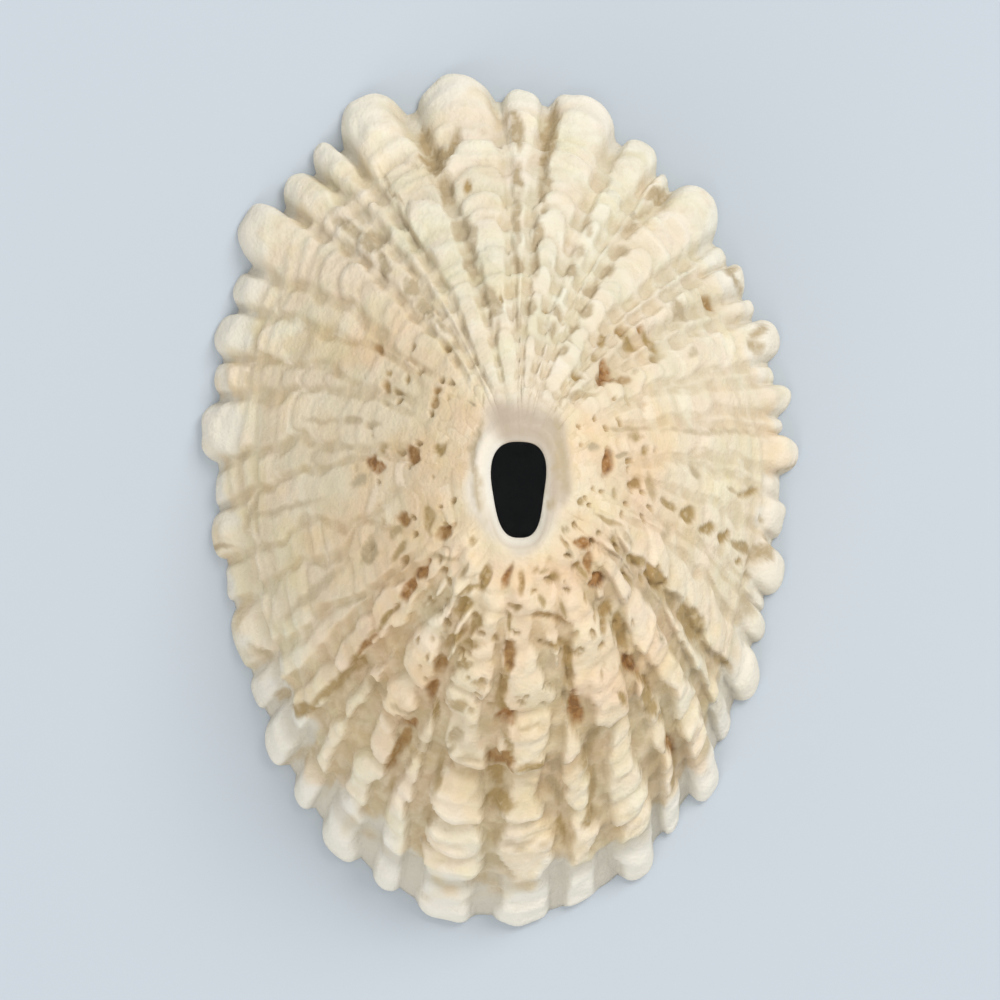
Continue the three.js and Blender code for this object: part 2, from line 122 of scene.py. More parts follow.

# Pits, stains and worn channels noted, each: place X and Y from the shell's middle, length,
# breadth, bearing of its length, depth, and tone from 0 grey through 0.5 tan to 1 orange brown
marks = {
    "front valleys": [
        [0.7, 16.2, 1.4, 0.5, 170, 0.2, 0.35], [0.78, 14.2, 1.1, 0.42, 0, 0.2, 0.35],
        [0.75, 12.3, 1.7, 0.34, 0, 0.2, 0.3], [0.75, 10.3, 0.8, 0.42, 0, 0.22, 0.2],
        [2.1, 15.9, 1.9, 0.7, 5, 0.22, 0.4], [1.92, 13.6, 1.9, 0.42, 0, 0.22, 0.3],
        [1.6, 11.6, 1.1, 0.4, 10, 0.2, 0.2], [1.5, 10.3, 0.8, 0.38, 0, 0.2, 0.2],
        [-3.3, 15.9, 1.1, 0.6, 165, 0.35, 0.42], [-2.8, 14.95, 1.0, 0.9, 90, 0.4, 0.42],
        [-2.1, 15.5, 1.0, 0.45, 20, 0.3, 0.42], [-2.4, 13.6, 0.95, 0.6, 170, 0.3, 0.36],
        [-1.5, 13.7, 0.42, 0.36, 0, 0.2, 0.6], [-1.5, 11.7, 1.3, 0.8, 160, 0.14, 0.22],
        [-1.25, 10.3, 0.85, 0.42, 165, 0.3, 0.28], [-0.45, 8.7, 1.3, 0.75, 160, 0.2, 0.24],
        [0.02, 8.75, 0.35, 0.2, 0, 0.2, 0.5], [-5.15, 10.4, 1.1, 0.5, 150, 0.25, 0.22],
        [-3.95, 9.25, 0.8, 0.6, 140, 0.28, 0.28], [-3.25, 8.45, 1.0, 0.5, 160, 0.3, 0.28],
        [-2.5, 7.6, 0.9, 0.4, 150, 0.25, 0.2], [-2.0, 6.9, 0.6, 0.25, 150, 0.15, 0.12],
        [-5.7, 11.3, 1.0, 0.7, 80, 0.2, 0.2], [-6.8, 12.0, 1.7, 0.5, 120, 0.2, 0.28],
        [-1.6, 7.4, 0.5, 0.25, 150, 0.15, 0.1], [-4.8, 13.6, 1.6, 0.16, 145, 0.15, 0.2],
        [-3.9, 11.6, 2.2, 0.18, 150, 0.18, 0.25], [-0.1, 7.3, 0.8, 0.2, 5, 0.12, 0.15],
        [0.75, 7.9, 0.7, 0.25, 0, 0.14, 0.15], [1.35, 8.4, 0.5, 0.4, 0, 0.16, 0.12],
    ],
    "front right pits": [
        [5.3, 10.9, 0.6, 0.5, 20, 0.16, 0.12], [4.7, 10.0, 0.75, 0.55, 40, 0.18, 0.14],
        [4.05, 9.3, 0.8, 0.5, 30, 0.2, 0.2], [3.7, 8.2, 0.5, 0.42, 10, 0.2, 0.22],
        [3.2, 7.45, 0.55, 0.45, 10, 0.25, 0.35], [2.62, 6.3, 0.4, 0.38, 40, 0.25, 0.2],
        [2.95, 6.8, 0.4, 0.3, 0, 0.16, 0.1], [2.25, 7.35, 0.45, 0.28, 10, 0.18, 0.14],
        [2.5, 8.05, 0.5, 0.36, 15, 0.16, 0.12], [3.05, 9.9, 0.75, 0.4, 10, 0.18, 0.14],
        [3.4, 10.8, 0.6, 0.36, 15, 0.14, 0.1], [3.85, 12.1, 0.9, 0.36, 10, 0.14, 0.12],
        [6.95, 13.3, 0.9, 0.5, 75, 0.3, 0.36], [6.3, 12.65, 1.2, 0.14, 55, 0.22, 0.2],
        [5.8, 11.95, 0.5, 0.4, 60, 0.22, 0.3], [7.85, 8.4, 0.85, 0.55, 150, 0.2, 0.24],
        [9.15, 8.7, 0.5, 0.28, 120, 0.25, 0.75], [9.9, 9.85, 0.5, 0.42, 20, 0.3, 0.3],
        [10.35, 9.3, 0.95, 0.16, 140, 0.3, 0.1], [11.0, 7.2, 0.55, 0.3, 20, 0.25, 0.34],
        [11.0, 6.5, 0.7, 0.28, 145, 0.25, 0.34], [8.45, 6.4, 0.45, 0.36, 20, 0.12, 0.12],
        [7.2, 7.6, 0.45, 0.3, 70, 0.1, 0.12], [5.9, 5.6, 0.3, 0.2, 0, 0.1, 0.2],
    ],
    "right stains": [
        [4.65, 5.55, 0.9, 0.52, 15, 0.28, 1.0], [3.45, 5.4, 0.5, 0.16, 125, 0.28, 0.55],
        [5.2, 5.15, 0.9, 0.32, 85, 0.14, 0.75], [4.4, 6.9, 0.55, 0.3, 10, 0.2, 0.6],
        [4.15, 6.2, 0.34, 0.28, 0, 0.16, 0.55], [5.28, 7.3, 0.5, 0.3, 0, 0.16, 0.7],
        [5.6, 6.75, 0.75, 0.5, 150, 0.2, 0.6], [6.05, 7.3, 0.36, 0.34, 0, 0.2, 0.8],
        [6.5, 6.85, 1.1, 0.26, 135, 0.18, 0.6], [6.75, 6.2, 0.42, 0.3, 80, 0.3, 0.45],
        [3.4, 4.55, 1.5, 0.22, 85, 0.1, 0.45], [4.75, 1.55, 1.05, 0.34, 10, 0.3, 1.0],
        [6.35, 2.15, 0.36, 0.32, 20, 0.3, 0.62], [5.4, 1.95, 0.55, 0.18, 90, 0.16, 0.3],
        [4.1, 2.2, 0.5, 0.34, 85, 0.2, 0.2], [6.0, 2.7, 0.5, 0.34, 10, 0.16, 0.5],
        [5.95, 0.6, 0.62, 0.5, 20, 0.25, 0.72], [6.6, 0.45, 1.0, 0.3, 170, 0.12, 0.5],
        [5.0, 0.2, 0.5, 0.18, 0, 0.12, 0.5], [3.6, -0.15, 0.32, 0.26, 150, 0.26, 0.5],
        [3.6, -2.0, 0.75, 0.5, 60, 0.28, 1.0], [3.78, -2.8, 1.1, 0.26, 0, 0.16, 0.9],
        [3.25, -3.0, 0.42, 0.36, 30, 0.26, 0.7], [3.5, -3.4, 0.6, 0.22, 140, 0.16, 0.55],
        [4.3, -3.6, 0.6, 0.5, 20, 0.32, 1.0], [2.82, -1.5, 0.36, 0.2, 60, 0.26, 0.3],
        [2.95, -2.4, 0.3, 0.22, 0, 0.16, 0.2], [4.2, -1.6, 0.32, 0.18, 60, 0.2, 0.45],
        [4.7, -1.0, 1.1, 0.2, 115, 0.14, 0.5], [5.5, -1.7, 0.9, 0.26, 140, 0.12, 0.4],
        [5.1, -2.15, 0.55, 0.34, 160, 0.22, 0.5], [6.05, -2.75, 0.6, 0.4, 140, 0.22, 0.6],
        [6.85, -3.5, 1.1, 0.75, 145, 0.32, 0.66], [5.65, -3.5, 0.65, 0.26, 160, 0.16, 0.5],
        [6.5, -4.4, 0.6, 0.4, 150, 0.12, 0.34], [7.6, -4.5, 0.9, 0.6, 150, 0.26, 0.45],
        [8.5, -5.6, 1.8, 0.7, 158, 0.3, 0.5], [9.1, -6.7, 0.9, 0.4, 150, 0.16, 0.4],
        [7.5, -0.3, 0.9, 0.36, 115, 0.2, 0.5], [8.4, -0.8, 0.65, 0.5, 160, 0.26, 0.58],
        [9.2, -1.4, 0.55, 0.42, 20, 0.26, 0.58], [9.85, -1.75, 0.6, 0.46, 60, 0.26, 0.64],
        [10.6, -2.15, 1.0, 0.4, 120, 0.16, 0.5], [10.55, -2.85, 0.3, 0.25, 10, 0.3, 0.6],
        [11.15, -3.5, 0.24, 0.2, 0, 0.25, 0.3], [11.1, 0.25, 0.75, 0.24, 65, 0.26, 0.6],
        [11.6, -0.95, 0.35, 0.15, 0, 0.22, 0.2], [10.3, 0.35, 0.6, 0.16, 120, 0.12, 0.4],
        [8.7, 1.1, 0.65, 0.28, 150, 0.16, 0.3], [7.4, -1.5, 0.5, 0.34, 0, 0.12, 0.3],
        [9.2, 2.95, 3.4, 0.26, 92, 0.1, 0.36], [5.6, 3.05, 1.5, 0.2, 90, 0.1, 0.45],
        [12.4, 1.25, 0.5, 0.18, 40, 0.2, 0.1], [11.0, -4.9, 1.1, 0.3, 20, 0.14, 0.2],
        [11.4, -2.5, 1.2, 0.4, 45, 0.16, 0.4], [6.9, -6.0, 0.3, 0.22, 0, 0.26, 0.24],
        [6.9, -5.55, 0.5, 0.1, 170, 0.14, 0.2],
    ],
    "back channels": [
        [4.6, -5.15, 1.0, 0.5, 30, 0.3, 0.66], [5.35, -6.05, 1.7, 0.5, 165, 0.34, 0.66],
        [5.72, -7.4, 0.8, 0.5, 150, 0.32, 1.0], [6.25, -8.1, 1.1, 0.26, 135, 0.2, 0.7],
        [6.7, -9.2, 1.6, 0.55, 150, 0.26, 0.5], [7.45, -11.1, 0.95, 0.45, 150, 0.3, 0.85],
        [7.65, -12.1, 1.2, 0.28, 10, 0.16, 0.5], [6.7, -12.1, 1.1, 0.5, 20, 0.12, 0.4],
        [5.3, -8.6, 0.75, 0.3, 140, 0.2, 0.6], [8.6, -9.15, 0.36, 0.24, 0, 0.16, 0.3],
        [9.8, -7.3, 0.75, 0.5, 150, 0.2, 0.5], [0.25, -3.5, 0.95, 0.28, 22, 0.32, 0.95],
        [0.9, -3.7, 0.65, 0.38, 10, 0.26, 0.7], [1.8, -3.3, 0.6, 0.18, 80, 0.16, 0.5],
        [2.3, -3.65, 0.55, 0.36, 60, 0.2, 0.6], [-0.7, -3.6, 1.0, 0.42, 20, 0.28, 0.6],
        [-1.35, -3.95, 0.8, 0.26, 75, 0.22, 0.5], [-1.55, -3.1, 0.7, 0.2, 20, 0.16, 0.4],
        [-1.6, -4.8, 1.0, 0.5, 60, 0.22, 0.6], [-1.05, -5.6, 0.8, 0.4, 30, 0.22, 0.52],
        [-2.05, -6.2, 1.1, 0.34, 38, 0.28, 0.6], [-1.3, -6.4, 1.0, 0.36, 95, 0.22, 0.55],
        [0.3, -5.5, 0.9, 0.18, 170, 0.26, 0.5], [0.7, -4.8, 0.5, 0.24, 30, 0.18, 0.5],
        [1.8, -4.6, 0.45, 0.16, 170, 0.16, 0.5], [2.2, -5.3, 1.3, 0.3, 108, 0.26, 0.72],
        [2.7, -4.9, 0.6, 0.2, 160, 0.16, 0.5], [0.4, -6.9, 1.0, 0.46, 5, 0.32, 0.82],
        [0.2, -8.0, 1.3, 0.46, 8, 0.3, 0.64], [0.05, -9.1, 1.3, 0.5, 5, 0.26, 0.6],
        [0.15, -9.8, 0.6, 0.5, 60, 0.34, 0.95], [0.35, -10.6, 1.0, 0.26, 170, 0.18, 0.5],
        [0.0, -11.55, 1.2, 0.6, 85, 0.32, 0.8], [-0.2, -12.6, 1.1, 0.7, 5, 0.3, 0.6],
        [-0.1, -13.6, 1.0, 0.5, 85, 0.26, 0.56], [2.4, -6.5, 1.2, 0.3, 90, 0.26, 0.64],
        [2.95, -7.4, 1.7, 0.4, 175, 0.28, 0.64], [2.85, -8.9, 1.3, 0.24, 170, 0.16, 0.4],
        [3.3, -9.5, 1.4, 0.58, 175, 0.36, 0.92], [4.0, -11.2, 1.7, 0.55, 15, 0.26, 0.45],
        [4.05, -13.0, 1.8, 0.4, 0, 0.26, 0.45], [4.0, -14.1, 0.9, 0.45, 10, 0.26, 0.5],
        [2.5, -13.2, 1.3, 0.3, 155, 0.2, 0.4], [2.7, -14.8, 1.1, 0.3, 165, 0.26, 0.56],
        [2.5, -12.0, 0.9, 0.5, 20, 0.16, 0.34], [1.5, -11.6, 1.3, 0.3, 85, 0.2, 0.55],
        [1.5, -12.7, 1.3, 0.18, 88, 0.1, 0.3], [-4.0, -10.1, 0.7, 0.5, 60, 0.28, 0.85],
        [-4.5, -11.2, 1.7, 0.45, 32, 0.28, 0.75], [-3.1, -8.5, 1.1, 0.42, 10, 0.3, 0.85],
        [-2.7, -7.4, 1.0, 0.34, 0, 0.26, 0.78], [-2.9, -9.3, 0.8, 0.26, 0, 0.2, 0.6],
        [-1.6, -7.3, 0.7, 0.5, 60, 0.16, 0.5], [-1.8, -9.0, 0.9, 0.6, 60, 0.14, 0.5],
        [-2.0, -10.5, 0.8, 0.4, 20, 0.18, 0.34], [-2.3, -11.2, 0.7, 0.24, 45, 0.18, 0.3],
        [-1.4, -11.5, 0.9, 0.24, 90, 0.14, 0.3], [-2.8, -12.4, 1.5, 0.3, 5, 0.18, 0.45],
        [-4.9, -12.8, 0.6, 0.34, 30, 0.18, 0.45], [-3.3, -14.1, 0.6, 0.36, 10, 0.16, 0.4],
        [-0.3, -15.1, 0.7, 0.3, 5, 0.16, 0.4], [1.25, -9.9, 1.2, 0.12, 90, 0.12, 0.4],
        [-4.3, -9.1, 1.2, 0.2, 130, 0.14, 0.35], [1.2, -15.2, 2.2, 0.2, 90, 0.12, 0.3],
    ],
    "left stains": [
        [-5.4, 6.6, 0.5, 0.3, 125, 0.16, 0.8], [-5.0, 5.1, 0.55, 0.3, 0, 0.3, 0.7],
        [-4.45, 4.8, 0.42, 0.2, 130, 0.26, 0.5], [-4.85, 5.65, 0.34, 0.18, 60, 0.16, 0.55],
        [-2.9, 4.3, 0.36, 0.32, 0, 0.3, 0.72], [-2.85, 4.75, 0.36, 0.28, 40, 0.2, 0.75],
        [-1.35, 4.2, 0.4, 0.14, 120, 0.14, 0.1], [-0.75, 4.4, 0.5, 0.1, 20, 0.12, 0.1],
        [-5.6, 3.35, 0.65, 0.3, 90, 0.12, 0.36], [-6.6, 3.4, 0.75, 0.3, 90, 0.12, 0.36],
        [-8.0, 3.4, 1.2, 0.26, 90, 0.08, 0.4], [-5.55, 1.5, 0.85, 0.5, 150, 0.22, 0.95],
        [-3.9, 1.9, 0.7, 0.55, 160, 0.26, 0.85], [-2.7, 2.15, 0.55, 0.34, 60, 0.2, 0.6],
        [-5.2, 2.2, 0.45, 0.22, 20, 0.14, 0.55], [-6.3, 0.7, 0.75, 0.5, 45, 0.14, 0.26],
        [-4.2, -1.0, 0.8, 0.45, 120, 0.25, 0.82], [-3.2, -0.9, 1.2, 0.4, 0, 0.16, 0.6],
        [-2.4, -1.45, 0.75, 0.42, 45, 0.26, 0.82], [-4.7, -1.6, 0.6, 0.4, 40, 0.14, 0.45],
        [-5.8, -2.35, 0.95, 0.5, 15, 0.16, 0.38], [-4.6, -2.5, 0.95, 0.34, 30, 0.16, 0.5],
        [-2.5, -2.6, 0.95, 0.3, 100, 0.14, 0.42], [-3.3, -3.2, 0.75, 0.42, 40, 0.28, 0.9],
        [-4.0, -3.95, 0.9, 0.38, 25, 0.3, 0.9], [-5.0, -5.3, 1.8, 0.26, 42, 0.2, 0.6],
        [-5.8, -6.4, 1.4, 0.3, 40, 0.22, 0.85], [-6.3, -7.25, 1.0, 0.5, 30, 0.2, 0.66],
        [-7.5, -8.4, 2.0, 0.4, 48, 0.18, 0.5], [-8.5, -9.2, 1.0, 0.5, 80, 0.2, 0.5],
        [-9.6, -0.5, 2.8, 0.3, 76, 0.1, 0.34], [-11.1, -0.7, 1.3, 0.26, 20, 0.12, 0.32],
        [-8.3, -4.2, 3.0, 0.4, 48, 0.1, 0.32], [-12.2, -2.1, 0.8, 0.26, 75, 0.18, 0.2],
        [-10.6, -6.9, 0.95, 0.34, 130, 0.16, 0.24], [-9.8, -8.9, 0.6, 0.34, 60, 0.16, 0.3],
        [-9.0, -11.5, 1.0, 0.4, 60, 0.12, 0.08], [-11.6, 1.9, 0.6, 0.2, 80, 0.14, 0.16],
        [-7.2, 5.7, 1.1, 0.1, 10, 0.08, 0.14], [-5.7, -8.4, 0.9, 0.28, 150, 0.14, 0.34],
    ],
    # grey lines by the keyhole: the two on the left follow creases, the long one on the right is a
    # painted shadow crescent
    "collar creases and shadow": [
        [-1.15, 2.5, 1.4, 0.34, 15, 0.2, 0.0], [-1.05, 0.6, 2.4, 0.3, 168, 0.14, 0.0],
        [2.7, 1.7, 2.6, 0.44, 172, 0.14, 0.0], [2.3, -0.25, 0.6, 0.3, 40, 0.16, 0.0],
    ],
}

# The mesh's grid
grid = {
    "columns": 700,
    "collarRows": 8,
    "rowsPerRing": 8,
    "footRows": 3,
    "hollowRows": 12,
    "wallRows": 5,
}


# A soft step: 0 below low, 1 above high, level at both ends
def smoothstep(low, high, x):
    t = np.clip((x - low) / (high - low), 0, 1)
    return t * t * (3 - 2 * t)


# A repeatable number from 0 to 1 for each set of two to four whole numbers
def hashed(*wholes):
    mix = np.zeros(np.broadcast(*wholes).shape, dtype=np.uint64)
    for whole, prime in zip(wholes, (374761393, 668265263, 2147483647, 1274126177)):
        mix = mix + np.asarray(whole).astype(np.int64).astype(np.uint64) * np.uint64(prime)
        mix = (mix ^ (mix >> np.uint64(13))) * np.uint64(1103515245)
    mix = (mix ^ (mix >> np.uint64(16))) & np.uint64(0xFFFFFF)
    return mix.astype(float) / 0xFFFFFF


# Smooth noise from 0 to 1 in space: the hashed corners of each cube, blended across it
def smoothNoise(points, size, seed):
    cell = np.floor(points / size)
    part = points / size - cell
    part = part * part * (3 - 2 * part)
    total = 0
    for corner in range(8):
        step = np.array([corner & 1, corner >> 1 & 1, corner >> 2])
        weight = np.prod(np.where(step, part, 1 - part), axis=-1)
        at = cell + step
        total = total + weight * hashed(at[..., 0] + seed, at[..., 1], at[..., 2])
    return total


# Noise along a rib: hashed at each ring and blended between rings, each rib on its own
def noiseAlong(rib, ring, seed):
    low = np.floor(ring)
    part = smoothstep(0, 1, ring - low)
    return hashed(rib, low, seed) * (1 - part) + hashed(rib, low + 1, seed) * part


# Distance to the nearest of many scattered points, in cells, and that point's own number
def scattered(points, size, seed):
    cell = np.floor(points / size)
    nearest = np.full(points.shape[:-1], 9.0)
    number = np.zeros(points.shape[:-1])
    for k in range(27):
        at = cell + np.array([k % 3 - 1, k // 3 % 3 - 1, k // 9 - 1])
        keys = [at[..., i] for i in range(3)]
        offset = np.stack([hashed(*keys, seed + i) for i in range(3)], axis=-1)
        away = np.linalg.norm(at + offset - points / size, axis=-1)
        closer = away < nearest
        number = np.where(closer, hashed(*keys, seed + 7), number)
        nearest = np.where(closer, away, nearest)
    return nearest, number


# A value from the front, right, back and left ones. The front's and the back's fade out between
# about 30 and 60 degrees to either side, and the front's a little further round on the right
def around(name, bearing):
    front, right, back, left = sculpture[name]
    frontShare = smoothstep(0.45, 0.88, np.cos(bearing) + 0.12 * np.sin(bearing))
    backShare = smoothstep(0.45, 0.88, -np.cos(bearing))
    side = smoothstep(-0.3, 0.3, np.sin(bearing)) * (right - left) + left
    return front * frontShare + back * backShare + side * (1 - frontShare - backShare)


# 1 between two bearings in degrees, easing off over soft degrees inside each end
def sector(bearing, start, end, soft):
    degrees = np.degrees(bearing) % 360
    return smoothstep(start, start + soft, degrees) * (1 - smoothstep(end - soft, end, degrees))


# Radius of an ellipse at a bearing from its long axis
def ellipse(bearing, halfWidth, halfLength):
    return 1 / np.hypot(np.sin(bearing) / halfWidth, np.cos(bearing) / halfLength)


# Outline of the keyhole: a squared oval, broader towards the front
def keyholeRadius(bearing):
    f = shellForm
    shift = 1 + f["keyholeBroad"] * np.cos(bearing) + f["keyholeLean"] * np.sin(bearing)
    width = f["keyholeHalfWidth"] * shift
    across = np.abs(np.sin(bearing) / width) ** f["keyholePower"]
    along = np.abs(np.cos(bearing) / f["keyholeHalfLength"]) ** f["keyholePower"]
    return (across + along) ** (-1 / f["keyholePower"])


# Outline of the margin between the ribs: an ellipse about the keyhole with a few slow waves
def marginRadius(bearing):
    f = shellForm
    wave = 1
    for times, cosine, sine in f["marginWaves"]:
        wave = wave + cosine * np.cos(times * bearing) + sine * np.sin(times * bearing)
    return ellipse(bearing, f["marginHalfWidth"], f["marginHalfLength"]) * wave


# A rib's bearing at share s of the way down: it starts nearer the front and swings out
def swung(bearing, s):
    f = shellForm
    sine = np.sin(bearing)
    ease = np.where(sine > 0, f["swingEaseRight"], f["swingEaseLeft"])
    turn = math.radians(f["swingMost"]) * np.hypot(1, ease) * sine / np.hypot(sine, ease)
    start, end, soft, held = f["straight"]
    return bearing - turn * (1 - held * sector(bearing, start, end, soft)) * (1 - s)


# Height of the flank without its sculpture: a power curve of the way down
def flankHeight(s, bearing):
    f = shellForm
    middle = (f["flankFront"] + f["flankBack"]) / 2
    power = middle + (f["flankFront"] - middle) * np.cos(bearing)
    return f["rimHeight"] + (f["height"] - f["rimHeight"]) * (1 - np.maximum(s, 0) ** power)


# How far each rib reaches to either side, in radians at the margin: gaps are shared by breadth
def ribReaches():
    bearing, breadth = ribs[:, 0], ribs[:, 1]
    gap = (np.roll(bearing, -1) - bearing) % 360
    after = gap * breadth / (breadth + np.roll(breadth, -1))
    before = np.roll(gap - after, 1)
    return np.radians(before), np.radians(after)


# Columns of the grid: for each, its rib, its place across that rib from -1 to 1, and its bearing
def ribColumns():
    before, after = ribReaches()
    share = (before + after) / (2 * math.pi)
    columns = np.maximum(6, 2 * np.round(share * grid["columns"] / 2)).astype(int)
    rib = np.repeat(np.arange(len(ribs)), columns)
    first = np.repeat(np.cumsum(columns) - columns, columns)
    t = (np.arange(columns.sum()) - first) / np.repeat(columns, columns) * 2 - 1
    turn = np.where(t < 0, t * before[rib], t * after[rib])
    return rib, t, np.radians(ribs[rib, 0]) + turn


# How the marks are drawn
markForm = {
    "rimAt": 1.8,  # a mark's rim lies at its length or breadth divided by this, from its middle
    "softRim": 0.16,  # half the rim's width in millimetres
    "ragged": 0.4,  # narrower marks have a smoother rim
    "faint": 0.17,  # shallower marks are fainter
    "sink": (0.25, 0.35),  # share of its depth that a mark sinks, and what orange brown adds
    "hazeFrom": 0.48,  # tone past which a mark gives off a warm haze
    "hazeStrength": 1.4,
    "hazeReach": (0.5, 0.7),  # in millimetres, and what its length adds
}


# The marks: each is a tilted ellipse with a ragged, soft rim. Gives the depth, how far a point is
# in a mark, that mark's tone, and a warm haze that spreads from the brown ones
def wornMarks(x, y, ragged):
    m = markForm
    depth = np.zeros_like(x)
    inMark = np.zeros_like(x)
    tone = np.zeros_like(x)
    haze = np.zeros_like(x)
    for markX, markY, length, breadth, bearing, deep, hue in sum(marks.values(), []):
        angle = math.radians(bearing)
        along = (x - markX) * math.sin(angle) + (y - markY) * math.cos(angle)
        across = (x - markX) * math.cos(angle) - (y - markY) * math.sin(angle)
        away = np.hypot(along * m["rimAt"] / length, across * m["rimAt"] / breadth)
        away = away + ragged * min(1, breadth / m["ragged"])
        rim = min(0.5, m["softRim"] / breadth)
        here = (1 - smoothstep(1 - rim, 1 + rim, away)) * min(1, deep / m["faint"])
        tone = np.where(here > inMark, hue, tone)
        inMark = np.maximum(inMark, here)
        depth = np.maximum(depth, here * deep * (m["sink"][0] + m["sink"][1] * hue))
        spread = (along**2 + across**2) / (m["hazeReach"][0] + m["hazeReach"][1] * length) ** 2
        haze = haze + m["hazeStrength"] * max(hue - m["hazeFrom"], 0) * np.exp(-spread)
    return depth, inMark, tone, np.minimum(haze, 1)


# Small forms on the outer face: lengths in millimetres, places in shares of the way down
detail = {
    "slopeStep": 0.01,  # a slope is measured over this on either side
    "strayUntil": (0.78, 0.95),  # where borders straighten towards the margin
    "widestValley": 0.38,  # a valley takes no more of half a rib than this
    "scalesPerBlock": 1.7,
    "pitSpacing": 0.62,
    "pitRim": (0.16, 0.36),  # a bored pit's rim, in spacings from its middle
    "pitShare": 0.55,  # share of the places that are bored where bored is 1
    "pitDepth": 0.18,
    "eatenFrom": (0.05, 0.13),  # between these and the next, pits and lumps are strong
    "eatenTo": (0.38, 0.55),
    "ledgeSoft": 18,  # degrees
    "ledgeStray": 0.03,
    "funnelDepth": 0.55,  # the collar falls into the keyhole by this
    "funnelWidth": 0.85,
    "ridgeHeight": 0.13,  # a low ridge round the funnel
    "ridgeAt": 0.55,
    "ridgeWidth": 0.2,
    "layersPerRing": 2.1,  # thin layers by the margin
    "layerInValley": 0.03,
    "layerOnCrest": 0.13,  # added to that on a crest
    "knobUneven": 0.3,
    "edgeDrop": 0.3,  # the margin's very edge bends down by this
}


# Noise from -0.5 to 0.5 at the points, in lumps of a size in millimetres
def unevenness(p, size, seed):
    return smoothNoise(p.place, size, seed) - 0.5


# What is known of the outer face's points is gathered in p, one array for each property. Its rows
# lie at share s of the way down: an even collar, then rings that widen outwards
def placeRows(p):
    f = shellForm
    collar = np.linspace(0, 1, grid["collarRows"], endpoint=False)
    v = np.linspace(0, f["rings"], f["rings"] * grid["rowsPerRing"] + 1)
    spread = around("spread", p.bearing)
    down = f["callus"] + (1 - f["callus"]) * (v[:, None] / f["rings"]) ** spread
    p.s = np.vstack([collar[:, None] * f["callus"] * np.ones_like(p.bearing), down])
    p.ring = np.concatenate([collar - 1, v])[:, None] * np.ones_like(p.bearing)


# The bare flank runs straight out from the keyhole's outline to the margin's, at the flank's height
def placeFlank(p):
    step = detail["slopeStep"]
    p.turn = swung(p.bearing, p.s)
    inner = keyholeRadius(p.turn)
    p.reachOut = marginRadius(p.bearing) - inner
    p.radius = inner + p.reachOut * p.s
    fall = flankHeight(p.s - step, p.bearing) - flankHeight(p.s + step, p.bearing)
    p.tilt = np.arctan(fall / (2 * step * p.reachOut))
    p.z = flankHeight(p.s, p.bearing)
    p.place = np.stack([p.radius * np.sin(p.turn), p.radius * np.cos(p.turn), p.z], axis=-1)
    p.size = (p.radius / marginRadius(p.bearing)) ** 0.5
    p.atEdge = smoothstep(0, 0.06, p.s - around("knobFrom", p.bearing))


# Each point's own rib, its place across it from -1 to 1, and how far it is inside it. Borders
# stray, and a rib that begins lower down widens out of the valley between its neighbours
def findRibs(p):
    step = detail["slopeStep"]
    stray = around("wander", p.bearing) * (1 - smoothstep(*detail["strayUntil"], p.s))
    sway = smoothNoise(p.place, 1.9, 5) + 0.6 * smoothNoise(p.place, 0.75, 6) - 0.8
    u = p.rib + p.t / 2 + 2 * stray * sway
    near = np.floor(u + 0.5)
    over = 2 * (u - near)
    near = near.astype(int) % len(ribs)
    beside = (near + np.sign(over).astype(int)) % len(ribs)
    begin, late = around("begin", p.bearing), around("late", p.bearing)
    grown = [smoothstep(0, 0.2, p.s - begin - (1 - ribs[k, 1]) * late) for k in (near, beside)]
    lead = grown[0] - grown[1]
    before, after = ribReaches()
    scale = p.radius * (swung(p.bearing + step, p.s) - swung(p.bearing - step, p.s)) / (2 * step)
    nearReach = np.where(over < 0, before[near], after[near]) * scale
    besideReach = np.where(over < 0, after[beside], before[beside]) * scale
    ceded = np.abs(over) > 1 + np.minimum(lead, 0)
    kept = nearReach * (1 + np.minimum(lead, 0)) + besideReach * np.maximum(lead, 0)
    inKept = kept - np.abs(over) * nearReach
    p.halfRib = np.where(ceded, besideReach - lead * nearReach, kept)
    p.fromBorder = np.where(ceded, (np.abs(over) - 1 - lead) * nearReach, inKept)
    p.own = np.where(ceded, beside, near)
    fromMiddle = 1 - p.fromBorder / np.maximum(p.halfRib, 0.01)
    p.aside = np.where(ceded, -1, 1) * np.sign(over) * fromMiddle
    p.border = np.floor(u).astype(int)


# Blocks along a rib: its rings bow outwards on the crest and run out of step with its neighbours',
# and at some of them a sunken line parts one block from the next. Fine scales ride on the blocks
def partBlocks(p):
    crest = 1 - p.aside**2
    waver = (noiseAlong(p.own, p.ring * 0.5, 3) - 0.5) * 1.3 * crest
    p.common = unevenness(p, 3.2, 7) * 0.7
    p.phase = p.ring - around("arch", p.bearing) * crest * smoothstep(0.3, 0.8, p.s) + waver + p.common
    p.block = np.floor(p.phase)
    p.part = p.phase - p.block
    p.ends = np.abs(2 * p.part - 1)
    weak = np.where(p.part < 0.5, hashed(p.own, p.block, 11), hashed(p.own, p.block + 1, 11))
    p.line = p.ends**3.2 * np.clip(2 * weak - 0.7, 0, 1) * smoothstep(0.06, 0.16, p.s)
    finePhase = detail["scalesPerBlock"] * p.phase
    p.fineScale = finePhase - np.floor(finePhase)
    p.unevenFine = hashed(p.own, np.floor(finePhase), 21)


